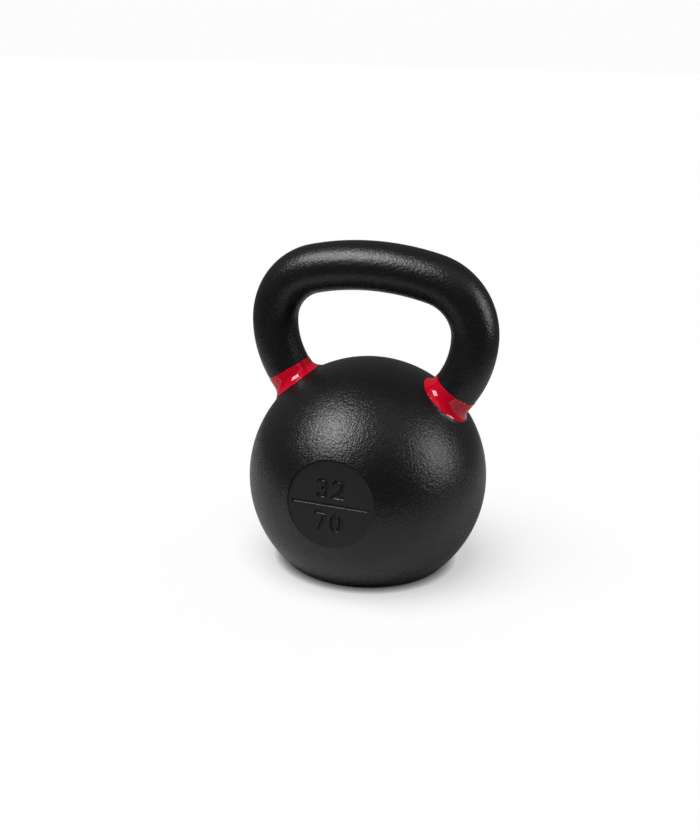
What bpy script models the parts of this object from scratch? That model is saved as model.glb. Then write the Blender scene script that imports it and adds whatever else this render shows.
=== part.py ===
"""Cast-iron kettlebell, 32 kg: ball, handle and two colour bands.

Frame: the origin is the centre of the flat base, +Z is up, +X runs along the grip, and the weight disc
faces -Y. Units are metres. Run with: blender --background --python part.py
"""

import math

import bmesh
import bpy
from mathutils import Matrix, Vector

MM = 0.001

# Ball
BALL_RADIUS = 100.0 * MM
BALL_CENTRE_HEIGHT = 73.5 * MM
BASE_EDGE_RADIUS = 4.0 * MM

# Grip and horns, as the centre line of a round bar
GRIP_RADIUS = 20.0 * MM
HORN_RADIUS = 19.0 * MM
HAND_GAP = 57.8 * MM
CROWN_RADIUS = 210.0 * MM
CROWN_HALF_ANGLE = math.radians(14.0)
CORNER_RADIUS = 46.0 * MM
LEG_RADIUS = 76.0 * MM

# Horn root: the fillet onto the ball, and the spigot that seats the handle
ROOT_FILLET_RADIUS = 10.0 * MM
FILLET_SINK = 0.15 * MM
PARTING_ABOVE_FILLET = 0.65 * MM
SPIGOT_RADIUS = 12.0 * MM
SPIGOT_LENGTH = 14.0 * MM
SPIGOT_CHAMFER = 1.0 * MM
FIT_CLEARANCE = 0.3 * MM

# Colour bands
BAND_THICKNESS = 0.8 * MM
BAND_PROUD = 0.3 * MM
BAND_ABOVE_FILLET = 5.75 * MM
BAND_EDGE_HEIGHT = 0.6 * MM

# Weight disc on the front, with its engraved numerals
DISC_RADIUS = 35.6 * MM
DISC_RECESS = 0.6 * MM
DISC_OFFSET = (0.8 * MM, -1.5 * MM)
DISC_TILT = math.radians(5.6)
ENGRAVING_OFFSET = (-0.7 * MM, -1.6 * MM)
DIVIDER_LENGTH = 63.0 * MM
STROKE_WIDTH = 3.4 * MM
ENGRAVING_DEPTH = 1.6 * MM
DIGIT_HEIGHT = 16.4 * MM
DIGIT_WIDTH = 10.8 * MM
DIGIT_PITCH = 13.0 * MM
LINE_OFFSET = 13.3 * MM

# Mesh resolution
BALL_SEGMENTS = 72
ROUND_SEGMENTS = 48
FILLET_STEPS = 8
CORNER_STEPS = 14
SPIGOT_STEPS = 4
BASE_EDGE_STEPS = 4
LEG_STEPS = 8
CROWN_STEPS = 5
DIGIT_ARC_STEPS = 8
CUT_OVERSHOOT = 12.0 * MM

BALL_CENTRE = Vector((0.0, 0.0, BALL_CENTRE_HEIGHT))


def spread(start, end, steps):
    """Evenly spaced values from start up to, but without, end."""
    return [start + (end - start) * i / steps for i in range(steps)]


# Centre line -----------------------------------------------------------------------------------------

GRIP_AXIS_HEIGHT = BALL_RADIUS + HAND_GAP + GRIP_RADIUS
WIDEST_X = CROWN_RADIUS * math.sin(CROWN_HALF_ANGLE) + CORNER_RADIUS * (1 - math.sin(CROWN_HALF_ANGLE))
CROWN_DROP = CROWN_RADIUS * (1 - math.cos(CROWN_HALF_ANGLE))
WIDEST_Z = GRIP_AXIS_HEIGHT - CROWN_DROP - CORNER_RADIUS * math.cos(CROWN_HALF_ANGLE)
LEG_CENTRE = (WIDEST_X - LEG_RADIUS, WIDEST_Z)
LEG_CENTRE_DISTANCE = math.hypot(*LEG_CENTRE)

# The leg's arc runs until its tangent points at the ball's centre, so both horns enter the ball square on.
ROOT_ANGLE = math.atan2(*LEG_CENTRE) + math.asin(LEG_RADIUS / LEG_CENTRE_DISTANCE)
ROOT_STRAIGHT = math.sqrt(LEG_CENTRE_DISTANCE**2 - LEG_RADIUS**2)

# Stations are distances along the centre line, measured from the ball's centre.
STATION_LEG_END = ROOT_STRAIGHT + LEG_RADIUS * ROOT_ANGLE
STATION_CORNER_END = STATION_LEG_END + CORNER_RADIUS * (math.pi / 2 - CROWN_HALF_ANGLE)
STATION_CROWN = STATION_CORNER_END + CROWN_RADIUS * CROWN_HALF_ANGLE


def centre_line(station):
    """Return x, z (from the ball's centre) and the lean of the right horn's centre line from vertical."""
    if station <= ROOT_STRAIGHT:
        return station * math.sin(ROOT_ANGLE), station * math.cos(ROOT_ANGLE), ROOT_ANGLE
    if station <= STATION_LEG_END:
        lean = ROOT_ANGLE - (station - ROOT_STRAIGHT) / LEG_RADIUS
        x = LEG_CENTRE[0] + LEG_RADIUS * math.cos(lean)
        return x, LEG_CENTRE[1] - LEG_RADIUS * math.sin(lean), lean
    if station <= STATION_CORNER_END:
        lean = -(station - STATION_LEG_END) / CORNER_RADIUS
        x = WIDEST_X - CORNER_RADIUS * (1 - math.cos(lean))
        return x, WIDEST_Z - CORNER_RADIUS * math.sin(lean), lean
    from_middle = (STATION_CROWN - station) / CROWN_RADIUS
    x = CROWN_RADIUS * math.sin(from_middle)
    z = GRIP_AXIS_HEIGHT - CROWN_RADIUS * (1 - math.cos(from_middle))
    return x, z, from_middle - math.pi / 2


def bar_radius(station):
    """Horn radius up to the corner, easing to the grip radius along it."""
    share = (station - STATION_LEG_END) / (STATION_CORNER_END - STATION_LEG_END)
    share = min(max(share, 0.0), 1.0)
    eased = share * share * (3 - 2 * share)
    return HORN_RADIUS + (GRIP_RADIUS - HORN_RADIUS) * eased


def ring(side, station, radius):
    """Circle of points square to the centre line; side is +1 for the right horn and -1 for the left."""
    x, z, lean = centre_line(station)
    outward = Vector((math.cos(lean), 0.0, -math.sin(lean)))
    points = []
    for i in range(ROUND_SEGMENTS):
        angle = 2 * math.pi * i / ROUND_SEGMENTS
        point = Vector((x, 0.0, z)) + radius * math.cos(angle) * outward
        point.y = radius * math.sin(angle)
        point.x *= side
        points.append(BALL_CENTRE + point)
    return points


# Root fillet -----------------------------------------------------------------------------------------

FILLET_AXIS_RADIUS = HORN_RADIUS + ROOT_FILLET_RADIUS
FILLET_REACH = BALL_RADIUS - FILLET_SINK + ROOT_FILLET_RADIUS
FILLET_STATION = math.sqrt(FILLET_REACH**2 - FILLET_AXIS_RADIUS**2)
FILLET_ANGLE = math.acos(FILLET_AXIS_RADIUS / FILLET_REACH)
BAND_TOP = FILLET_STATION + BAND_ABOVE_FILLET
PARTING = FILLET_STATION + PARTING_ABOVE_FILLET
SEAT_DEPTH = BAND_THICKNESS - BAND_PROUD + FIT_CLEARANCE


def edge_angle():
    """Angle round the fillet at which its surface is BAND_EDGE_HEIGHT above the ball."""
    reach = FILLET_REACH**2 + ROOT_FILLET_RADIUS**2 - (BALL_RADIUS + BAND_EDGE_HEIGHT) ** 2
    return FILLET_ANGLE - math.acos(reach / (2 * FILLET_REACH * ROOT_FILLET_RADIUS))


def fillet_point(angle, offset):
    """Station and radius on the fillet, angle from the horn, offset out of the casting's surface."""
    arc = ROOT_FILLET_RADIUS - offset
    return FILLET_STATION - arc * math.sin(angle), FILLET_AXIS_RADIUS - arc * math.cos(angle)


def fillet_run(start, end, offset):
    return [fillet_point(angle, offset) for angle in spread(start, end, FILLET_STEPS) + [end]]


# Mesh helpers ----------------------------------------------------------------------------------------


def clear_scene():
    for item in list(bpy.data.objects):
        bpy.data.objects.remove(item, do_unlink=True)


def material(name, colour, roughness, metallic, coat=0.0):
    made = bpy.data.materials.new(name)
    made.use_nodes = True
    made.diffuse_color = (*colour, 1.0)
    shader = made.node_tree.nodes["Principled BSDF"]
    shader.inputs["Base Color"].default_value = (*colour, 1.0)
    shader.inputs["Roughness"].default_value = roughness
    shader.inputs["Metallic"].default_value = metallic
    shader.inputs["Coat Weight"].default_value = coat
    return made


def add_object(name, mesh_builder, surface=None):
    """Make an object from a finished bmesh, with every face turned outwards."""
    bmesh.ops.recalc_face_normals(mesh_builder, faces=mesh_builder.faces)
    mesh = bpy.data.meshes.new(name)
    mesh_builder.to_mesh(mesh)
    mesh_builder.free()
    made = bpy.data.objects.new(name, mesh)
    bpy.context.scene.collection.objects.link(made)
    if surface:
        mesh.materials.append(surface)
    return made


def loft(target, rings, closed=False):
    """Skin a list of equal rings; an open run is capped, a closed one joins its last ring to its first."""
    rows = [[target.verts.new(point) for point in points] for points in rings]
    count = len(rows[0])
    pairs = list(zip(rows, rows[1:]))
    if closed:
        pairs.append((rows[-1], rows[0]))
    for lower, upper in pairs:
        for i in range(count):
            j = (i + 1) % count
            target.faces.new((lower[i], lower[j], upper[j], upper[i]))
    if not closed:
        target.faces.new(rows[0])
        target.faces.new(rows[-1])


def cutter(name, mesh_builder):
    made = add_object(name, mesh_builder)
    made.display_type = "WIRE"
    made.hide_render = True
    return made


def add_boolean(body, tool, operation):
    step = body.modifiers.new(tool.name, "BOOLEAN")
    step.operation = operation
    step.solver = "EXACT"
    step.object = tool
    step.use_self = operation == "DIFFERENCE"


# Ball ------------------------------------------------------------------------------------------------


def ball_profile():
    """Radius and height from the base centre's rounded edge to the top pole."""
    inner = BALL_RADIUS - BASE_EDGE_RADIUS
    drop = BALL_CENTRE_HEIGHT - BASE_EDGE_RADIUS
    flat = math.sqrt(inner**2 - drop**2)
    edge_end = math.atan2(-drop, flat)
    points = []
    for angle in spread(-math.pi / 2, edge_end, BASE_EDGE_STEPS):
        height = BASE_EDGE_RADIUS + BASE_EDGE_RADIUS * math.sin(angle)
        points.append((flat + BASE_EDGE_RADIUS * math.cos(angle), height))
    for angle in spread(edge_end, math.pi / 2, BALL_SEGMENTS // 2):
        height = BALL_CENTRE_HEIGHT + BALL_RADIUS * math.sin(angle)
        points.append((BALL_RADIUS * math.cos(angle), height))
    return points


def ball_body():
    builder = bmesh.new()
    rows = []
    for radius, height in ball_profile():
        row = []
        for i in range(BALL_SEGMENTS):
            angle = 2 * math.pi * i / BALL_SEGMENTS
            row.append(builder.verts.new((radius * math.cos(angle), radius * math.sin(angle), height)))
        rows.append(row)
    top = builder.verts.new((0.0, 0.0, BALL_CENTRE_HEIGHT + BALL_RADIUS))
    builder.faces.new(rows[0])
    for lower, upper in zip(rows, rows[1:]):
        for i in range(BALL_SEGMENTS):
            j = (i + 1) % BALL_SEGMENTS
            builder.faces.new((lower[i], lower[j], upper[j], upper[i]))
    for i in range(BALL_SEGMENTS):
        builder.faces.new((rows[-1][i], rows[-1][(i + 1) % BALL_SEGMENTS], top))
    return builder


def horn_boss(side):
    """Stub of the horn on the ball: the black end of the fillet, then the band's seat up to the parting."""
    shoulder = edge_angle() + FIT_CLEARANCE / ROOT_FILLET_RADIUS
    foot = fillet_point(FILLET_ANGLE, 0.0)
    profile = [(foot[0] - 2 * ROOT_FILLET_RADIUS, foot[1] - ROOT_FILLET_RADIUS)]
    profile += fillet_run(FILLET_ANGLE, shoulder, 0.0)
    profile += fillet_run(shoulder, 0.0, -SEAT_DEPTH)
    profile.append((PARTING - FIT_CLEARANCE / 2, HORN_RADIUS - SEAT_DEPTH))
    builder = bmesh.new()
    loft(builder, [ring(side, station, radius) for station, radius in profile])
    return builder


def spigot_socket(side):
    bottom = PARTING - SPIGOT_LENGTH - FIT_CLEARANCE
    mouth = PARTING + CUT_OVERSHOOT
    radius = SPIGOT_RADIUS + FIT_CLEARANCE
    stations = spread(bottom, PARTING, SPIGOT_STEPS) + [PARTING, mouth]
    builder = bmesh.new()
    loft(builder, [ring(side, station, radius) for station in stations])
    return builder


# Weight disc -----------------------------------------------------------------------------------------

DISC_DISTANCE = math.sqrt(BALL_RADIUS**2 - DISC_RADIUS**2) - DISC_RECESS


def disc_frame():
    """Matrix whose X is right, Y is up across the disc and Z points out of its face."""
    turn = Matrix.Rotation(math.pi / 2 - DISC_TILT, 4, "X")
    return Matrix.Translation(BALL_CENTRE) @ turn @ Matrix.Translation((*DISC_OFFSET, DISC_DISTANCE))


def prism(target, outline, low, high):
    """Closed prism on the disc, from an outline in the disc's own X and Y."""
    frame = disc_frame()
    loft(target, [[frame @ Vector((x, y, level)) for x, y in outline] for level in (low, high)])


def disc_recess():
    builder = bmesh.new()
    outline = []
    for i in range(ROUND_SEGMENTS):
        angle = 2 * math.pi * i / ROUND_SEGMENTS
        outline.append((DISC_RADIUS * math.cos(angle), DISC_RADIUS * math.sin(angle)))
    prism(builder, outline, 0.0, CUT_OVERSHOOT)
    return builder


def stroke(target, path, closed=False):
    """Engrave a path of x, y points, from the engraving's middle, as a groove of STROKE_WIDTH."""
    half = STROKE_WIDTH / 2
    count = len(path)
    path = [(x + ENGRAVING_OFFSET[0], y + ENGRAVING_OFFSET[1]) for x, y in path]
    left = []
    right = []
    for i, (x, y) in enumerate(path):
        before = path[(i - 1) % count] if closed or i > 0 else path[i]
        after = path[(i + 1) % count] if closed or i < count - 1 else path[i]
        along = Vector((after[0] - before[0], after[1] - before[1])).normalized()
        left.append((x - half * along.y, y + half * along.x))
        right.append((x + half * along.y, y - half * along.x))
    if closed:
        ring_stroke(target, left, right)
    else:
        prism(target, left + right[::-1], -ENGRAVING_DEPTH, CUT_OVERSHOOT)


def ring_stroke(target, left, right):
    frame = disc_frame()
    levels = ((left, -ENGRAVING_DEPTH), (right, -ENGRAVING_DEPTH), (right, CUT_OVERSHOOT), (left, CUT_OVERSHOOT))
    loft(target, [[frame @ Vector((x, y, level)) for x, y in side] for side, level in levels], closed=True)


def arc(centre, radii, start, end):
    """Points of an elliptical arc; angles in degrees from +X."""
    points = []
    for i in range(DIGIT_ARC_STEPS + 1):
        angle = math.radians(start + (end - start) * i / DIGIT_ARC_STEPS)
        points.append((centre[0] + radii[0] * math.cos(angle), centre[1] + radii[1] * math.sin(angle)))
    return points


def digit_paths(digit):
    """Strokes of a plain numeral inside a box of DIGIT_WIDTH by DIGIT_HEIGHT centred on 0, 0."""
    half = STROKE_WIDTH / 2
    w = DIGIT_WIDTH / 2 - half
    h = DIGIT_HEIGHT / 2 - half
    if digit == "3":
        lobe = (w, h / 2)
        return [(arc((0.0, h / 2), lobe, 160.0, -90.0), False), (arc((0.0, -h / 2), lobe, 90.0, -160.0), False)]
    if digit == "2":
        bowl = arc((0.0, h - w), (w, w), 165.0, -35.0)
        return [(bowl + [(-w, -h)], False), ([(-w - half, -h), (w + half, -h)], False)]
    if digit == "7":
        return [([(-w - half, h), (w + half, h)], False), ([(w, h), (-w / 3, -h - half)], False)]
    full = arc((0.0, 0.0), (w, h), 0.0, 180.0)[:-1] + arc((0.0, 0.0), (w, h), 180.0, 360.0)[:-1]
    return [(full, True)]


def engrave_number(target, text, height):
    for place, digit in enumerate(text):
        x = (place - (len(text) - 1) / 2) * DIGIT_PITCH
        for path, closed in digit_paths(digit):
            stroke(target, [(x + px, height + py) for px, py in path], closed)


def engraving():
    builder = bmesh.new()
    engrave_number(builder, "32", LINE_OFFSET)
    engrave_number(builder, "70", -LINE_OFFSET)
    stroke(builder, [(-DIVIDER_LENGTH / 2, 0.0), (DIVIDER_LENGTH / 2, 0.0)])
    return builder


def make_ball(surface):
    ball = add_object("ball", ball_body(), surface)
    for side, label in ((1, "right"), (-1, "left")):
        add_boolean(ball, cutter(f"{label}_horn_boss", horn_boss(side)), "UNION")
        add_boolean(ball, cutter(f"{label}_socket", spigot_socket(side)), "DIFFERENCE")
    add_boolean(ball, cutter("disc_recess", disc_recess()), "DIFFERENCE")
    add_boolean(ball, cutter("disc_engraving", engraving()), "DIFFERENCE")


# Handle ----------------------------------------------------------------------------------------------


def handle_profile():
    """Station and radius from the right spigot's tip to the middle of the grip."""
    tip = PARTING - SPIGOT_LENGTH
    face = PARTING + FIT_CLEARANCE / 2
    shoulder = BAND_TOP + FIT_CLEARANCE
    seat = HORN_RADIUS - SEAT_DEPTH
    profile = [(tip, SPIGOT_RADIUS - SPIGOT_CHAMFER)]
    profile += [(station, SPIGOT_RADIUS) for station in spread(tip + SPIGOT_CHAMFER, face, SPIGOT_STEPS)]
    profile += [(face, SPIGOT_RADIUS), (face, seat), (shoulder, seat)]
    stations = spread(shoulder, STATION_LEG_END, LEG_STEPS)
    stations += spread(STATION_LEG_END, STATION_CORNER_END, CORNER_STEPS)
    stations += spread(STATION_CORNER_END, STATION_CROWN, CROWN_STEPS)
    profile += [(station, bar_radius(station)) for station in stations]
    return profile


def make_handle(surface):
    half = handle_profile()
    rings = [ring(1, station, radius) for station, radius in half]
    rings.append(ring(1, STATION_CROWN, bar_radius(STATION_CROWN)))
    rings += [ring(-1, station, radius) for station, radius in reversed(half)]
    builder = bmesh.new()
    loft(builder, rings)
    add_object("handle", builder, surface)


# Bands -----------------------------------------------------------------------------------------------


def band_profile():
    """Closed profile of the collar: down its outer face, then back up its bore."""
    edge = edge_angle()
    bore = BAND_PROUD - BAND_THICKNESS
    outer = [(BAND_TOP, HORN_RADIUS + BAND_PROUD)] + fillet_run(0.0, edge, BAND_PROUD)
    inner = fillet_run(edge, 0.0, bore) + [(BAND_TOP, HORN_RADIUS + bore)]
    return outer + inner


def make_band(name, side, surface):
    builder = bmesh.new()
    loft(builder, [ring(side, station, radius) for station, radius in band_profile()], closed=True)
    add_object(name, builder, surface)


def main():
    clear_scene()
    powder_coat = material("black_powder_coat", (0.018, 0.018, 0.018), 0.5, 0.0)
    enamel = material("red_enamel", (0.62, 0.003, 0.012), 0.12, 0.0, coat=1.0)
    make_ball(powder_coat)
    make_handle(powder_coat)
    make_band("right_band", 1, enamel)
    make_band("left_band", -1, enamel)


main()
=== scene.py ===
"""Looks for the cast-iron kettlebell: final meshes, materials, light and camera.

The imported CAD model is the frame. Every piece here stands in for one CAD node and keeps its size and
place; the sizes below are the design's own, in metres.
"""

import math

import bmesh
import bpy
import numpy as np
from mathutils import Matrix, Vector


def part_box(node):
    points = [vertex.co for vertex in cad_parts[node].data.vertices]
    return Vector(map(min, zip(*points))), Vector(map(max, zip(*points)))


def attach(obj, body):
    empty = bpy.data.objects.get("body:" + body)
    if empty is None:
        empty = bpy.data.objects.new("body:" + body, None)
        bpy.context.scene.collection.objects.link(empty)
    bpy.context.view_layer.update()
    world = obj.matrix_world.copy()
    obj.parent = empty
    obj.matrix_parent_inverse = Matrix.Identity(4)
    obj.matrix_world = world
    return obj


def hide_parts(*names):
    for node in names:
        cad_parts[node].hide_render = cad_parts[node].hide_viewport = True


MM = 0.001

# Sizes repeated from the design; the rest is read off the frame's boxes.
BASE_EDGE_RADIUS = 4.0 * MM
GRIP_RADIUS = 20.0 * MM
HORN_RADIUS = 19.0 * MM
CROWN_RADIUS = 210.0 * MM
CROWN_HALF_ANGLE = math.radians(14.0)
CORNER_RADIUS = 46.0 * MM
LEG_RADIUS = 76.0 * MM
ROOT_FILLET_RADIUS = 10.0 * MM
FILLET_SINK = 0.03 * MM
PARTING_ABOVE_FILLET = 0.65 * MM
SPIGOT_RADIUS = 12.0 * MM
SPIGOT_LENGTH = 14.0 * MM
SPIGOT_CHAMFER = 1.0 * MM
FIT_CLEARANCE = 0.3 * MM
BAND_THICKNESS = 0.8 * MM
BAND_PROUD = 0.3 * MM
BAND_ABOVE_FILLET = 5.75 * MM
BAND_EDGE_HEIGHT = 0.6 * MM
BAND_EDGE_ROUND = 0.25 * MM
DISC_RADIUS = 35.6 * MM
DISC_RECESS = 0.6 * MM
DISC_OFFSET = (0.8 * MM, -1.5 * MM)
DISC_TILT = math.radians(5.6)
ENGRAVING_OFFSET = (-0.7 * MM, -1.6 * MM)
DIVIDER_LENGTH = 63.0 * MM
STROKE_WIDTH = 3.4 * MM
STROKE_WALL = 1.3 * MM
ENGRAVING_DEPTH = 1.6 * MM
DIGIT_HEIGHT = 16.4 * MM
DIGIT_WIDTH = 10.8 * MM
DIGIT_PITCH = 13.0 * MM
LINE_OFFSET = 13.3 * MM

# Mesh resolution.
BALL_SEGMENTS = 288
ROUND_SEGMENTS = 160
FILLET_STEPS = 16
ROUNDING_STEPS = 6
CORNER_STEPS = 44
LEG_STEPS = 24
CROWN_STEPS = 20
DISC_SEGMENTS = 192
SPIGOT_STEPS = 4
FLOOR_SEGMENTS = 96
GROOVE_GRID = 0.2 * MM
DIGIT_ARC_STEPS = 24

# How far the cutters reach past the surface that they cut.
CUT_OVERSHOOT = 12.0 * MM

# Camera. The target is in the frame, in metres.
VIEW_AZIMUTH = math.radians(19.28)
VIEW_ELEVATION = math.radians(18.31)
VIEW_ROLL = math.radians(1.52)
VIEW_DISTANCE = 0.943
VIEW_TARGET = Vector((-0.0201, 0.0081, 0.1163))
LENS_MM = 47.53

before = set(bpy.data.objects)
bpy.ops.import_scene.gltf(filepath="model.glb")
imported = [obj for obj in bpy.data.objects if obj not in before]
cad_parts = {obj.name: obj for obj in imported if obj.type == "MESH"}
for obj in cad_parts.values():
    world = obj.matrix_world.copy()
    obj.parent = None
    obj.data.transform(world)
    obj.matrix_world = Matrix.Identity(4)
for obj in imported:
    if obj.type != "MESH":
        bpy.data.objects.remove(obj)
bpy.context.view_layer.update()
BALL_LOW, BALL_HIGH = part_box("ball")
HANDLE_LOW, HANDLE_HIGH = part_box("handle")
BALL_RADIUS = (BALL_HIGH[0] - BALL_LOW[0]) / 2
BALL_CENTRE_HEIGHT = BALL_HIGH[2] - BALL_RADIUS
BALL_CENTRE = Vector((0.0, 0.0, BALL_CENTRE_HEIGHT))


# Centre line of the grip and horns -------------------------------------------------------------------

GRIP_AXIS_HEIGHT = HANDLE_HIGH[2] - BALL_CENTRE_HEIGHT - GRIP_RADIUS
WIDEST_X = CROWN_RADIUS * math.sin(CROWN_HALF_ANGLE) + CORNER_RADIUS * (1 - math.sin(CROWN_HALF_ANGLE))
CROWN_DROP = CROWN_RADIUS * (1 - math.cos(CROWN_HALF_ANGLE))
WIDEST_Z = GRIP_AXIS_HEIGHT - CROWN_DROP - CORNER_RADIUS * math.cos(CROWN_HALF_ANGLE)
LEG_CENTRE = (WIDEST_X - LEG_RADIUS, WIDEST_Z)
LEG_CENTRE_DISTANCE = math.hypot(*LEG_CENTRE)
ROOT_ANGLE = math.atan2(*LEG_CENTRE) + math.asin(LEG_RADIUS / LEG_CENTRE_DISTANCE)
ROOT_STRAIGHT = math.sqrt(LEG_CENTRE_DISTANCE**2 - LEG_RADIUS**2)

# Stations are distances along the centre line, measured from the ball's centre.
STATION_LEG_END = ROOT_STRAIGHT + LEG_RADIUS * ROOT_ANGLE
STATION_CORNER_END = STATION_LEG_END + CORNER_RADIUS * (math.pi / 2 - CROWN_HALF_ANGLE)
STATION_CROWN = STATION_CORNER_END + CROWN_RADIUS * CROWN_HALF_ANGLE


def centre_line(station):
    """Return x, z (from the ball's centre) and the lean of the right horn's centre line from vertical."""
    if station <= ROOT_STRAIGHT:
        return station * math.sin(ROOT_ANGLE), station * math.cos(ROOT_ANGLE), ROOT_ANGLE
    if station <= STATION_LEG_END:
        lean = ROOT_ANGLE - (station - ROOT_STRAIGHT) / LEG_RADIUS
        x = LEG_CENTRE[0] + LEG_RADIUS * math.cos(lean)
        return x, LEG_CENTRE[1] - LEG_RADIUS * math.sin(lean), lean
    if station <= STATION_CORNER_END:
        lean = -(station - STATION_LEG_END) / CORNER_RADIUS
        x = WIDEST_X - CORNER_RADIUS * (1 - math.cos(lean))
        return x, WIDEST_Z - CORNER_RADIUS * math.sin(lean), lean
    from_middle = (STATION_CROWN - station) / CROWN_RADIUS
    x = CROWN_RADIUS * math.sin(from_middle)
    z = GRIP_AXIS_HEIGHT - CROWN_RADIUS * (1 - math.cos(from_middle))
    return x, z, from_middle - math.pi / 2


def bar_radius(station):
    """Horn radius up to the corner, easing to the grip radius along it."""
    share = (station - STATION_LEG_END) / (STATION_CORNER_END - STATION_LEG_END)
    share = min(max(share, 0.0), 1.0)
    eased = share * share * (3 - 2 * share)
    return HORN_RADIUS + (GRIP_RADIUS - HORN_RADIUS) * eased


def circle(count):
    """Evenly spaced angles round a full turn."""
    return [2 * math.pi * i / count for i in range(count)]


def spread(start, end, steps):
    """Evenly spaced values from start up to, and without, end."""
    return [start + (end - start) * i / steps for i in range(steps)]


def ring(side, station, radius):
    """Circle of points square to the centre line; side is +1 for the right horn and -1 for the left."""
    x, z, lean = centre_line(station)
    outward = Vector((math.cos(lean), 0.0, -math.sin(lean)))
    points = []
    for angle in circle(ROUND_SEGMENTS):
        point = Vector((x, 0.0, z)) + radius * math.cos(angle) * outward
        point.y = radius * math.sin(angle)
        point.x *= side
        points.append(BALL_CENTRE + point)
    return points


# Root fillet -----------------------------------------------------------------------------------------

FILLET_AXIS_RADIUS = HORN_RADIUS + ROOT_FILLET_RADIUS
FILLET_REACH = BALL_RADIUS - FILLET_SINK + ROOT_FILLET_RADIUS
FILLET_STATION = math.sqrt(FILLET_REACH**2 - FILLET_AXIS_RADIUS**2)
FILLET_ANGLE = math.acos(FILLET_AXIS_RADIUS / FILLET_REACH)
BAND_TOP = FILLET_STATION + BAND_ABOVE_FILLET
PARTING = FILLET_STATION + PARTING_ABOVE_FILLET
SEAT_DEPTH = BAND_THICKNESS - BAND_PROUD + FIT_CLEARANCE


def edge_angle():
    """Angle round the fillet at which its surface is BAND_EDGE_HEIGHT above the ball."""
    reach = FILLET_REACH**2 + ROOT_FILLET_RADIUS**2 - (BALL_RADIUS + BAND_EDGE_HEIGHT) ** 2
    return FILLET_ANGLE - math.acos(reach / (2 * FILLET_REACH * ROOT_FILLET_RADIUS))


def fillet_point(angle, offset):
    """Station and radius on the fillet, angle from the horn, offset out of the casting's surface."""
    arc = ROOT_FILLET_RADIUS - offset
    return FILLET_STATION - arc * math.sin(angle), FILLET_AXIS_RADIUS - arc * math.cos(angle)


def fillet_run(start, end, offset):
    """Points along the fillet between two angles, both ends included."""
    return [fillet_point(angle, offset) for angle in spread(start, end, FILLET_STEPS) + [end]]


# Mesh helpers ----------------------------------------------------------------------------------------

SHARP_ANGLE = math.radians(38.0)


def finish_mesh(name, builder, materials):
    """Turn a bmesh into an object with outward faces."""
    bmesh.ops.recalc_face_normals(builder, faces=builder.faces)
    mesh = bpy.data.meshes.new(name)
    builder.to_mesh(mesh)
    builder.free()
    made = bpy.data.objects.new(name, mesh)
    bpy.context.scene.collection.objects.link(made)
    for item in materials:
        mesh.materials.append(item)
    return made


def smooth_mesh(mesh):
    """Shade smooth, except along the true edges."""
    mesh.shade_smooth()
    mesh.set_sharp_from_angle(angle=SHARP_ANGLE)


def loft(target, rings, closed=False):
    """Skin a list of equal rings; an open run is capped, a closed one joins its last ring to its first."""
    rows = [[target.verts.new(point) for point in points] for points in rings]
    count = len(rows[0])
    pairs = list(zip(rows, rows[1:]))
    if closed:
        pairs.append((rows[-1], rows[0]))
    for lower, upper in pairs:
        for i in range(count):
            j = (i + 1) % count
            target.faces.new((lower[i], lower[j], upper[j], upper[i]))
    if not closed:
        target.faces.new(rows[0])
        target.faces.new(rows[-1])


POLE_RADIUS = 1e-9


def lathe(target, profile, place=Matrix.Identity(4), segments=BALL_SEGMENTS):
    """Turn a profile of radius, height points about Z; an end at radius 0 closes in a pole."""
    angles = circle(segments)
    rows = []
    for radius, height in profile:
        around = angles if radius > POLE_RADIUS else [0.0]
        points = [Vector((radius * math.cos(a), radius * math.sin(a), height)) for a in around]
        rows.append([target.verts.new(place @ point) for point in points])
    for lower, upper in zip(rows, rows[1:]):
        for i in range(segments):
            j = (i + 1) % segments
            corners = [lower[i % len(lower)], lower[j % len(lower)]]
            corners += [upper[j % len(upper)], upper[i % len(upper)]]
            target.faces.new(list(dict.fromkeys(corners)))


def combine(body, builder, operation):
    """Boolean a closed bmesh into body for good."""
    tool = finish_mesh("tool", builder, list(body.data.materials))
    step = body.modifiers.new("combine", "BOOLEAN")
    step.operation = operation
    step.solver = "EXACT"
    step.object = tool
    evaluated = body.evaluated_get(bpy.context.evaluated_depsgraph_get())
    mesh = bpy.data.meshes.new_from_object(evaluated)
    body.modifiers.remove(step)
    body.data = mesh
    bpy.data.objects.remove(tool, do_unlink=True)


# Materials -------------------------------------------------------------------------------------------

# Samples of the painted contact shadow on the floors.
OCCLUSION_SAMPLES = 4

# Darkest and lightest tint of each coat, linear RGB.
CASTING_BLACKS = ((0.0060, 0.0063, 0.0067), (0.0090, 0.0090, 0.0095))
DISC_BLACKS = ((0.0145, 0.0145, 0.0150), (0.0170, 0.0170, 0.0175))
ENAMEL_REDS = ((0.64, 0.0010, 0.018), (0.70, 0.0015, 0.024))

# Painted reflection: the darker red that reflections of the enamel show instead of its own red.
ENAMEL_PAINTED_REFLECTION = (0.24, 0.0005, 0.008)

# Peel height, roughness, reflection level and tints of each powder coat.
BALL_COAT = (0.47 * MM, 0.285, 0.5, CASTING_BLACKS)
HANDLE_COAT = (0.39 * MM, 0.30, 0.5, CASTING_BLACKS)
DISC_COAT = (0.08 * MM, 0.48, 0.36, DISC_BLACKS)
ENGRAVING_COAT = (0.04 * MM, 0.27, 0.55, DISC_BLACKS)

# Feature sizes of the powder coat, and how its parts relate.
PATCH_SIZE = 28.0 * MM
SPECK_SIZE = 1.1 * MM
SPECK_LOW, SPECK_HIGH = 0.3, 0.7
SPECK_ROUGHNESS = 0.04
WAVE_SIZE = 7.0 * MM
WAVE_SHARE = 0.55
PEEL_SIZE = 1.9 * MM
PEEL_DETAIL = 2.5
PEEL_ROUGHNESS = 0.65

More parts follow.
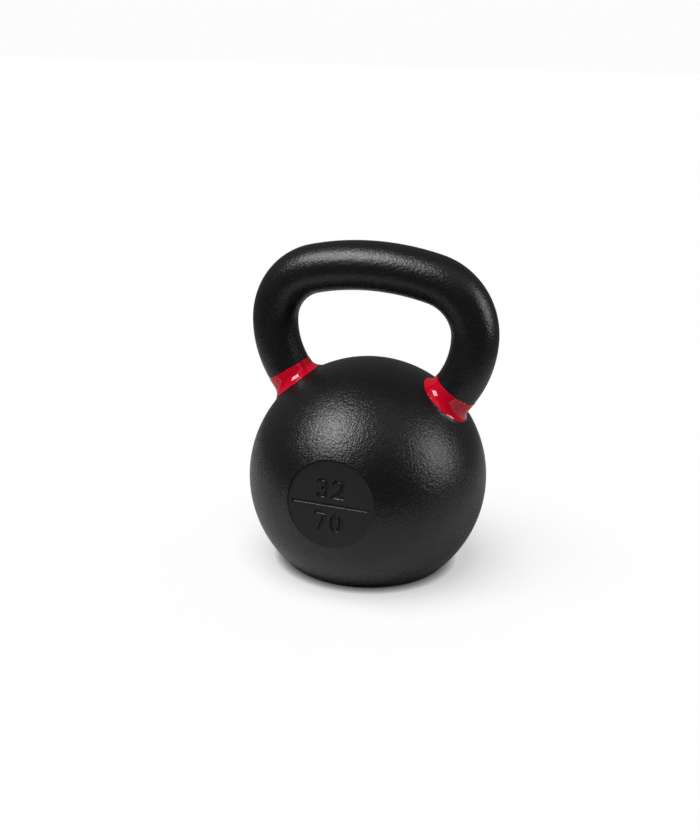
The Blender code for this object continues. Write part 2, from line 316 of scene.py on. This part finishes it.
# Clear-coated enamel of the bands.
ENAMEL_ROUGHNESS = 0.30
ENAMEL_COAT_ROUGHNESS = 0.03
ENAMEL_TINT_SIZE = 9.0 * MM
SAG_SIZE = 7.0 * MM
SAG_DEPTH = 0.06 * MM


class Nodes:
    """Short helper to wire a procedural material."""

    def __init__(self, name):
        self.material = bpy.data.materials.new(name)
        self.material.use_nodes = True
        self.tree = self.material.node_tree
        self.shader = self.tree.nodes["Principled BSDF"]
        coordinates = self.tree.nodes.new("ShaderNodeTexCoord")
        self.place = coordinates.outputs["Object"]

    def link(self, source, target):
        self.tree.links.new(source, target)

    def noise(self, size, detail=2.0, roughness=0.5):
        """Noise whose features are about size metres across."""
        node = self.tree.nodes.new("ShaderNodeTexNoise")
        node.inputs["Scale"].default_value = 1.0 / size
        node.inputs["Detail"].default_value = detail
        node.inputs["Roughness"].default_value = roughness
        self.link(self.place, node.inputs["Vector"])
        return node.outputs["Fac"]

    def ramp(self, value, low, high, out_low, out_high):
        """Smooth rise from out_low to out_high while value goes from low to high."""
        node = self.tree.nodes.new("ShaderNodeMapRange")
        node.interpolation_type = "SMOOTHSTEP"
        node.inputs["From Min"].default_value = low
        node.inputs["From Max"].default_value = high
        node.inputs["To Min"].default_value = out_low
        node.inputs["To Max"].default_value = out_high
        self.link(value, node.inputs["Value"])
        return node.outputs["Result"]

    def blend(self, factor, first, second):
        """Colour between first and second."""
        node = self.tree.nodes.new("ShaderNodeMix")
        node.data_type = "RGBA"
        self.link(factor, node.inputs["Factor"])
        node.inputs["A"].default_value = (*first, 1.0)
        node.inputs["B"].default_value = (*second, 1.0)
        return node.outputs["Result"]

    def with_painted_reflection(self, colour, painted_reflection_tint):
        """The colour itself to the camera and to diffuse light, and a painted reflection colour where a
        reflection shows it.
        """
        path = self.tree.nodes.new("ShaderNodeLightPath")
        node = self.tree.nodes.new("ShaderNodeMix")
        node.data_type = "RGBA"
        self.link(path.outputs["Is Glossy Ray"], node.inputs["Factor"])
        self.link(colour, node.inputs["A"])
        node.inputs["B"].default_value = (*painted_reflection_tint, 1.0)
        return node.outputs["Result"]

    def painted_contact_shadow(self, level, reach):
        """Grey level darkened by a painted contact shadow where another surface lies within reach metres.
        """
        node = self.tree.nodes.new("ShaderNodeAmbientOcclusion")
        node.samples = OCCLUSION_SAMPLES
        node.inputs["Color"].default_value = (level, level, level, 1.0)
        node.inputs["Distance"].default_value = reach
        return node.outputs["Color"]

    def bump(self, height, distance, under=None):
        """Normal of a relief distance metres high, on top of the relief under it."""
        node = self.tree.nodes.new("ShaderNodeBump")
        node.inputs["Strength"].default_value = 1.0
        node.inputs["Distance"].default_value = distance
        self.link(height, node.inputs["Height"])
        if under:
            self.link(under, node.inputs["Normal"])
        return node.outputs["Normal"]


def powder_coat(name, grain, roughness, level, blacks):
    """Black powder coat on iron: orange peel over a softer wave.

    grain is the height of the peel and level the strength of the reflection.
    """
    nodes = Nodes(name)
    shader = nodes.shader
    shader.inputs["Specular IOR Level"].default_value = level
    patches = nodes.noise(PATCH_SIZE, detail=3.0)
    nodes.link(nodes.blend(patches, *blacks), shader.inputs["Base Color"])
    smoothest, roughest = roughness - SPECK_ROUGHNESS, roughness + SPECK_ROUGHNESS
    specks = nodes.ramp(nodes.noise(SPECK_SIZE), SPECK_LOW, SPECK_HIGH, smoothest, roughest)
    nodes.link(specks, shader.inputs["Roughness"])
    wave = nodes.bump(nodes.noise(WAVE_SIZE), WAVE_SHARE * grain)
    peel = nodes.bump(nodes.noise(PEEL_SIZE, PEEL_DETAIL, PEEL_ROUGHNESS), grain, under=wave)
    nodes.link(peel, shader.inputs["Normal"])
    return nodes.material


def red_enamel():
    """High-gloss red: clear coat over a deep red, with the slight waviness of a poured coat."""
    nodes = Nodes("red_enamel")
    shader = nodes.shader
    shader.inputs["Roughness"].default_value = ENAMEL_ROUGHNESS
    shader.inputs["Specular IOR Level"].default_value = 0.0
    shader.inputs["Coat Weight"].default_value = 1.0
    shader.inputs["Coat Roughness"].default_value = ENAMEL_COAT_ROUGHNESS
    tint = nodes.blend(nodes.noise(ENAMEL_TINT_SIZE), *ENAMEL_REDS)
    # Reflections show a painted, darker red instead of the enamel's own red.
    nodes.link(nodes.with_painted_reflection(tint, ENAMEL_PAINTED_REFLECTION), shader.inputs["Base Color"])
    sag = nodes.bump(nodes.noise(SAG_SIZE, detail=1.0), SAG_DEPTH)
    nodes.link(sag, shader.inputs["Normal"])
    nodes.link(sag, shader.inputs["Coat Normal"])
    return nodes.material


# Weight disc -----------------------------------------------------------------------------------------

DISC_DISTANCE = math.sqrt(BALL_RADIUS**2 - DISC_RADIUS**2) - DISC_RECESS


def disc_frame():
    """Matrix whose X is right, Y is up across the disc and Z points out of its face."""
    turn = Matrix.Rotation(math.pi / 2 - DISC_TILT, 4, "X")
    return Matrix.Translation(BALL_CENTRE) @ turn @ Matrix.Translation((*DISC_OFFSET, DISC_DISTANCE))


def disc_recess():
    """Cutter that leaves the disc's flat face."""
    builder = bmesh.new()
    profile = [(0.0, 0.0), (DISC_RADIUS, 0.0), (DISC_RADIUS, CUT_OVERSHOOT), (0.0, CUT_OVERSHOOT)]
    lathe(builder, profile, disc_frame(), DISC_SEGMENTS)
    return builder


def arc(centre, radii, start, end):
    """Points of an elliptical arc; angles in degrees from +X."""
    points = []
    for degrees in spread(start, end, DIGIT_ARC_STEPS) + [end]:
        angle = math.radians(degrees)
        points.append((centre[0] + radii[0] * math.cos(angle), centre[1] + radii[1] * math.sin(angle)))
    return points


def digit_strokes(digit):
    """Centre lines of a plain numeral, each with whether it closes.

    The numeral fills a box of DIGIT_WIDTH by DIGIT_HEIGHT; the arcs' angles set where its strokes end.
    """
    half = STROKE_WIDTH / 2
    w = DIGIT_WIDTH / 2 - half
    h = DIGIT_HEIGHT / 2 - half
    if digit == "3":
        lobe = (w, h / 2)
        upper = arc((0.0, h / 2), lobe, 160.0, -90.0)
        lower = arc((0.0, -h / 2), lobe, 90.0, -160.0)
        return [(upper, False), (lower, False)]
    if digit == "2":
        bowl = arc((0.0, h - w), (w, w), 165.0, -35.0)
        return [(bowl + [(-w, -h)], False), ([(-w - half, -h), (w + half, -h)], False)]
    if digit == "7":
        return [([(-w - half, h), (w + half, h)], False), ([(w, h), (-w / 3, -h - half)], False)]
    return [(arc((0.0, 0.0), (w, h), 0.0, 360.0), True)]


def distance_to_segment(x, y, start, end, square_start, square_end):
    """Distance from points x, y to a segment; a squared end cuts its stroke off straight."""
    length = math.dist(start, end)
    ux, uy = (end[0] - start[0]) / length, (end[1] - start[1]) / length
    along = (x - start[0]) * ux + (y - start[1]) * uy
    beside = (y - start[1]) * ux - (x - start[0]) * uy
    distance = np.hypot(beside, np.maximum(np.maximum(-along, along - length), 0.0))
    if square_start:
        distance = np.maximum(distance, STROKE_WIDTH / 2 - along)
    if square_end:
        distance = np.maximum(distance, STROKE_WIDTH / 2 + along - length)
    return distance


def distance_to_strokes(x, y, strokes):
    """Distance from points x, y to the nearest centre line; open strokes end square."""
    nearest = np.full(x.shape, np.inf)
    for path, closed in strokes:
        last = len(path) - 2
        for i, (start, end) in enumerate(zip(path, path[1:])):
            square_start = i == 0 and not closed
            square_end = i == last and not closed
            distance = distance_to_segment(x, y, start, end, square_start, square_end)
            nearest = np.minimum(nearest, distance)
    return nearest


def engrave(target, strokes, centre, size):
    """Add a block over one numeral or bar whose underside is the engraving's relief."""
    middle = (centre[0] + ENGRAVING_OFFSET[0], centre[1] + ENGRAVING_OFFSET[1], 0.0)
    place = disc_frame() @ Matrix.Translation(middle)
    margin = 2 * (STROKE_WALL + GROOVE_GRID)
    width, height = size[0] + margin, size[1] + margin
    across = np.linspace(-width / 2, width / 2, round(width / GROOVE_GRID))
    up = np.linspace(-height / 2, height / 2, round(height / GROOVE_GRID))
    x, y = np.meshgrid(across, up)
    inside = STROKE_WIDTH / 2 - distance_to_strokes(x, y, strokes)
    level = -ENGRAVING_DEPTH * np.sin(np.clip(inside / STROKE_WALL, -1.0, 1.0) * math.pi / 2)
    grid = [[target.verts.new(place @ Vector(spot)) for spot in zip(*row)] for row in zip(x, y, level)]
    for lower, upper in zip(grid, grid[1:]):
        for i in range(len(lower) - 1):
            target.faces.new((lower[i], lower[i + 1], upper[i + 1], upper[i]))
    close_block(target, grid, place.to_3x3() @ Vector((0.0, 0.0, CUT_OVERSHOOT)))


def close_block(target, grid, rise):
    """Walls and lid that make a grid of vertices into a closed block."""
    border = grid[0][:-1] + [row[-1] for row in grid[:-1]]
    border += grid[-1][:0:-1] + [row[0] for row in grid[:0:-1]]
    lid = [target.verts.new(vertex.co + rise) for vertex in border]
    for i in range(len(border)):
        j = (i + 1) % len(border)
        target.faces.new((border[i], border[j], lid[j], lid[i]))
    target.faces.new(lid)


def engraving():
    """Cutters of the plain numerals 32 over 70, and of the bar between them."""
    builder = bmesh.new()
    bar = [(-DIVIDER_LENGTH / 2, 0.0), (DIVIDER_LENGTH / 2, 0.0)]
    engrave(builder, [(bar, False)], (0.0, 0.0), (DIVIDER_LENGTH, STROKE_WIDTH))
    for text, height in (("32", LINE_OFFSET), ("70", -LINE_OFFSET)):
        for place, digit in enumerate(text):
            x = (place - (len(text) - 1) / 2) * DIGIT_PITCH
            engrave(builder, digit_strokes(digit), (x, height), (DIGIT_WIDTH, DIGIT_HEIGHT))
    return builder


# Ball ------------------------------------------------------------------------------------------------


def ball_profile():
    """Radius and height from the middle of the base, round its edge and up to the top pole."""
    inner = BALL_RADIUS - BASE_EDGE_RADIUS
    drop = BALL_CENTRE_HEIGHT - BASE_EDGE_RADIUS
    flat = math.sqrt(inner**2 - drop**2)
    edge_end = math.atan2(-drop, flat)
    points = [(0.0, 0.0)]
    for angle in spread(-math.pi / 2, edge_end, ROUNDING_STEPS):
        height = BASE_EDGE_RADIUS + BASE_EDGE_RADIUS * math.sin(angle)
        points.append((flat + BASE_EDGE_RADIUS * math.cos(angle), height))
    for angle in spread(edge_end, math.pi / 2, BALL_SEGMENTS // 2):
        height = BALL_CENTRE_HEIGHT + BALL_RADIUS * math.sin(angle)
        points.append((BALL_RADIUS * math.cos(angle), height))
    points.append((0.0, BALL_CENTRE_HEIGHT + BALL_RADIUS))
    return points


def horn_boss(side):
    """Stub of the horn on the ball: the black end of the fillet, then the band's seat up to the parting."""
    shoulder = edge_angle() + FIT_CLEARANCE / ROOT_FILLET_RADIUS
    foot = fillet_point(FILLET_ANGLE, 0.0)
    profile = [(foot[0] - 2 * ROOT_FILLET_RADIUS, foot[1] - ROOT_FILLET_RADIUS)]
    profile += fillet_run(FILLET_ANGLE, shoulder, 0.0)
    profile += fillet_run(shoulder, 0.0, -SEAT_DEPTH)
    profile.append((PARTING - FIT_CLEARANCE / 2, HORN_RADIUS - SEAT_DEPTH))
    builder = bmesh.new()
    loft(builder, [ring(side, station, radius) for station, radius in profile])
    return builder


def spigot_socket(side):
    """Cutter of the hole that the horn's spigot stands in."""
    bottom = PARTING - SPIGOT_LENGTH - FIT_CLEARANCE
    mouth = PARTING + CUT_OVERSHOOT
    radius = SPIGOT_RADIUS + FIT_CLEARANCE
    builder = bmesh.new()
    stations = spread(bottom, PARTING, SPIGOT_STEPS) + [PARTING, mouth]
    loft(builder, [ring(side, station, radius) for station in stations])
    return builder


# Places of the disc's and the engraving's materials in the ball's list.
DISC_SLOT = 1
STROKE_SLOT = 2


def make_ball(coat, face_coat, stroke_coat):
    builder = bmesh.new()
    lathe(builder, ball_profile())
    ball = finish_mesh("ball_casting", builder, [coat, face_coat, stroke_coat])
    for side in (1, -1):
        combine(ball, horn_boss(side), "UNION")
        combine(ball, spigot_socket(side), "DIFFERENCE")
    for slot, tool in ((DISC_SLOT, disc_recess()), (STROKE_SLOT, engraving())):
        for face in tool.faces:
            face.material_index = slot
        combine(ball, tool, "DIFFERENCE")
    smooth_mesh(ball.data)
    return ball


# Handle and bands ------------------------------------------------------------------------------------


def handle_profile():
    """Station and radius from the right spigot's tip to just short of the middle of the grip."""
    tip = PARTING - SPIGOT_LENGTH
    face = PARTING + FIT_CLEARANCE / 2
    shoulder = BAND_TOP + FIT_CLEARANCE
    seat = HORN_RADIUS - SEAT_DEPTH
    profile = [(tip, SPIGOT_RADIUS - SPIGOT_CHAMFER)]
    profile += [(station, SPIGOT_RADIUS) for station in spread(tip + SPIGOT_CHAMFER, face, SPIGOT_STEPS)]
    profile += [(face, SPIGOT_RADIUS), (face, seat), (shoulder, seat)]
    stations = spread(shoulder, STATION_LEG_END, LEG_STEPS)
    stations += spread(STATION_LEG_END, STATION_CORNER_END, CORNER_STEPS)
    stations += spread(STATION_CORNER_END, STATION_CROWN, CROWN_STEPS)
    profile += [(station, bar_radius(station)) for station in stations]
    return profile


def make_handle(coat):
    half = handle_profile()
    rings = [ring(1, station, radius) for station, radius in half]
    rings.append(ring(1, STATION_CROWN, bar_radius(STATION_CROWN)))
    rings += [ring(-1, station, radius) for station, radius in reversed(half)]
    builder = bmesh.new()
    loft(builder, rings)
    handle = finish_mesh("handle_casting", builder, [coat])
    smooth_mesh(handle.data)
    return handle


def band_profile():
    """Closed profile of the collar: down its outer face, round its lower edge, and back up its bore."""
    edge = edge_angle()
    bore = BAND_PROUD - BAND_THICKNESS
    round_angle = BAND_EDGE_ROUND / ROOT_FILLET_RADIUS
    top_round = BAND_TOP - BAND_EDGE_ROUND
    outer = [(BAND_TOP, HORN_RADIUS + BAND_PROUD - BAND_EDGE_ROUND)]
    for angle in spread(0.0, math.pi / 2, ROUNDING_STEPS)[1:]:
        out = BAND_PROUD - BAND_EDGE_ROUND * (1 - math.sin(angle))
        outer.append((top_round + BAND_EDGE_ROUND * math.cos(angle), HORN_RADIUS + out))
    outer.append((top_round, HORN_RADIUS + BAND_PROUD))
    outer += fillet_run(0.0, edge - round_angle, BAND_PROUD)
    for angle in spread(0.0, math.pi / 2, ROUNDING_STEPS)[1:]:
        out = BAND_PROUD - BAND_EDGE_ROUND * (1 - math.cos(angle))
        outer.append(fillet_point(edge - round_angle * (1 - math.sin(angle)), out))
    outer.append(fillet_point(edge, BAND_PROUD - BAND_EDGE_ROUND))
    inner = fillet_run(edge, 0.0, bore) + [(BAND_TOP, HORN_RADIUS + bore)]
    return outer + inner


def make_band(name, side, enamel):
    builder = bmesh.new()
    loft(builder, [ring(side, station, radius) for station, radius in band_profile()], closed=True)
    band = finish_mesh(name, builder, [enamel])
    smooth_mesh(band.data)
    return band


# Staging ---------------------------------------------------------------------------------------------

FLOOR_RADIUS = 40.0
FLOOR_ALBEDO = 0.9
FLOOR_GLOW = 0.54
# How far the painted contact shadow on the floors reaches.
PAINTED_SHADOW_REACH = 8.0 * MM
BOUNCE_RADIUS = 0.5
BOUNCE_ALBEDO = 0.62
BOUNCE_CENTRE = (-0.05, 0.15)
BOUNCE_DROP = 0.5 * MM

BACKDROP_WHITE = 0.975

# The room's brightness rises from front to back between two directions, as their Y.
ROOM_FRONT = 0.06
ROOM_BACK = 0.15
ROOM_FRONT_Y = -0.6
ROOM_BACK_Y = 0.2

# Name, azimuth and elevation in degrees, distance and size in metres, power in watts.
SOFTBOXES = (
    ("key_softbox", -37.0, 52.0, 1.5, (0.75, 0.75), 18.5),
    ("fill_softbox", 94.0, 24.0, 1.6, (0.5, 0.9), 8.6),
    ("top_softbox", 50.0, 62.0, 1.6, (1.2, 1.2), 1.4),
)
SUN_AZIMUTH = -30.0
SUN_ELEVATION = 75.0
SUN_DISTANCE = 2.0
SUN_STRENGTH = 1.36
SUN_ANGLE = math.radians(48.0)


def flat_floor(name, radius, height, colour, glow):
    """Matt floor with a painted contact shadow: its paint and glow both fade where a piece stands close
    above it.
    """
    nodes = Nodes(name)
    nodes.shader.inputs["Roughness"].default_value = 1.0
    nodes.shader.inputs["Specular IOR Level"].default_value = 0.0
    nodes.shader.inputs["Emission Strength"].default_value = glow
    # Painted contact shadow: the floor's colour and glow darken near the pieces.
    nodes.link(nodes.painted_contact_shadow(colour, PAINTED_SHADOW_REACH), nodes.shader.inputs["Base Color"])
    nodes.link(nodes.painted_contact_shadow(1.0, PAINTED_SHADOW_REACH), nodes.shader.inputs["Emission Color"])
    builder = bmesh.new()
    for angle in circle(FLOOR_SEGMENTS):
        builder.verts.new((radius * math.cos(angle), radius * math.sin(angle), height))
    builder.faces.new(list(builder.verts))
    floor = finish_mesh(name, builder, [nodes.material])
    return floor


def make_floors():
    """A white floor that only the camera sees, and a darker one that only lights and reflections see."""
    white = flat_floor("floor", FLOOR_RADIUS, 0.0, FLOOR_ALBEDO, FLOOR_GLOW)
    white.visible_diffuse = False
    white.visible_glossy = False
    white.visible_shadow = False
    bounce = flat_floor("bounce_floor", BOUNCE_RADIUS, -BOUNCE_DROP, BOUNCE_ALBEDO, 0.0)
    bounce.location = (*BOUNCE_CENTRE, 0.0)
    bounce.visible_camera = False
    return white, bounce


def make_world():
    """White to the camera; to the object, a dim room, darker in front of it than behind."""
    world = bpy.data.worlds.new("studio")
    bpy.context.scene.world = world
    world.use_nodes = True
    tree = world.node_tree
    tree.nodes.clear()
    new = tree.nodes.new
    output = new("ShaderNodeOutputWorld")
    pick = new("ShaderNodeMixShader")
    room = new("ShaderNodeBackground")
    white = new("ShaderNodeBackground")
    path = new("ShaderNodeLightPath")
    where = new("ShaderNodeTexCoord")
    axes = new("ShaderNodeSeparateXYZ")
    rise = new("ShaderNodeMapRange")
    white.inputs["Color"].default_value = (1.0, 1.0, 1.0, 1.0)
    white.inputs["Strength"].default_value = BACKDROP_WHITE
    rise.interpolation_type = "SMOOTHSTEP"
    rise.inputs["From Min"].default_value = ROOM_FRONT_Y
    rise.inputs["From Max"].default_value = ROOM_BACK_Y
    rise.inputs["To Min"].default_value = ROOM_FRONT
    rise.inputs["To Max"].default_value = ROOM_BACK
    link = tree.links.new
    link(where.outputs["Generated"], axes.inputs["Vector"])
    link(axes.outputs["Y"], rise.inputs["Value"])
    link(rise.outputs["Result"], room.inputs["Strength"])
    link(path.outputs["Is Camera Ray"], pick.inputs["Fac"])
    link(room.outputs["Background"], pick.inputs[1])
    link(white.outputs["Background"], pick.inputs[2])
    link(pick.outputs["Shader"], output.inputs["Surface"])


def towards(azimuth, elevation):
    """Unit vector towards a light. Azimuth 0 is the front, positive towards +X, in degrees."""
    turn, lift = math.radians(azimuth), math.radians(elevation)
    return Vector((math.sin(turn) * math.cos(lift), -math.cos(turn) * math.cos(lift), math.sin(lift)))


def add_light(name, kind, away, distance, lit):
    """Light aimed at the ball's centre that falls only on the objects in lit."""
    light = bpy.data.lights.new(name, kind)
    made = bpy.data.objects.new(name, light)
    bpy.context.scene.collection.objects.link(made)
    made.location = BALL_CENTRE + away * distance
    made.rotation_euler = away.to_track_quat("Z", "Y").to_euler()
    group = bpy.data.collections.new(f"{name}_receivers")
    for item in lit:
        group.objects.link(item)
    made.light_linking.receiver_collection = group
    return light


def softbox(name, azimuth, elevation, distance, size, power, lit):
    light = add_light(name, "AREA", towards(azimuth, elevation), distance, lit)
    light.shape = "RECTANGLE"
    light.size, light.size_y = size
    light.energy = power


def make_lights(pieces, white, bounce):
    """Softboxes for the pieces and their bounce light, and a sun for the shadow on the white floor."""
    for settings in SOFTBOXES:
        softbox(*settings, [*pieces, bounce])
    away = towards(SUN_AZIMUTH, SUN_ELEVATION)
    sun = add_light("floor_shadow_sun", "SUN", away, SUN_DISTANCE, [white])
    sun.energy = SUN_STRENGTH
    sun.angle = SUN_ANGLE


def make_camera():
    """Camera that looks at the target from the front, a little right of the disc and above it."""
    data = bpy.data.cameras.new("camera")
    data.lens = LENS_MM
    camera = bpy.data.objects.new("camera", data)
    bpy.context.scene.collection.objects.link(camera)
    turn = Matrix.Rotation(VIEW_AZIMUTH, 4, "Z")
    tilt = Matrix.Rotation(math.pi / 2 - VIEW_ELEVATION, 4, "X")
    roll = Matrix.Rotation(VIEW_ROLL, 4, "Z")
    back = Matrix.Translation((0.0, 0.0, VIEW_DISTANCE))
    camera.matrix_world = Matrix.Translation(VIEW_TARGET) @ turn @ tilt @ back @ roll
    bpy.context.scene.camera = camera


# Assembly --------------------------------------------------------------------------------------------


def place_piece(piece, node):
    """Let a piece stand for its CAD node."""
    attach(piece, "root")
    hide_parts(node)
    return piece


def main():
    coat = powder_coat("black_powder_coat", *BALL_COAT)
    handle_coat = powder_coat("handle_powder_coat", *HANDLE_COAT)
    face_coat = powder_coat("disc_powder_coat", *DISC_COAT)
    stroke_coat = powder_coat("engraving_powder_coat", *ENGRAVING_COAT)
    enamel = red_enamel()
    pieces = [
        place_piece(make_ball(coat, face_coat, stroke_coat), "ball"),
        place_piece(make_handle(handle_coat), "handle"),
        place_piece(make_band("right_colour_band", 1, enamel), "right_band"),
        place_piece(make_band("left_colour_band", -1, enamel), "left_band"),
    ]
    white, bounce = make_floors()
    make_world()
    make_lights(pieces, white, bounce)
    make_camera()
    bpy.context.scene.view_settings.view_transform = "Standard"


main()
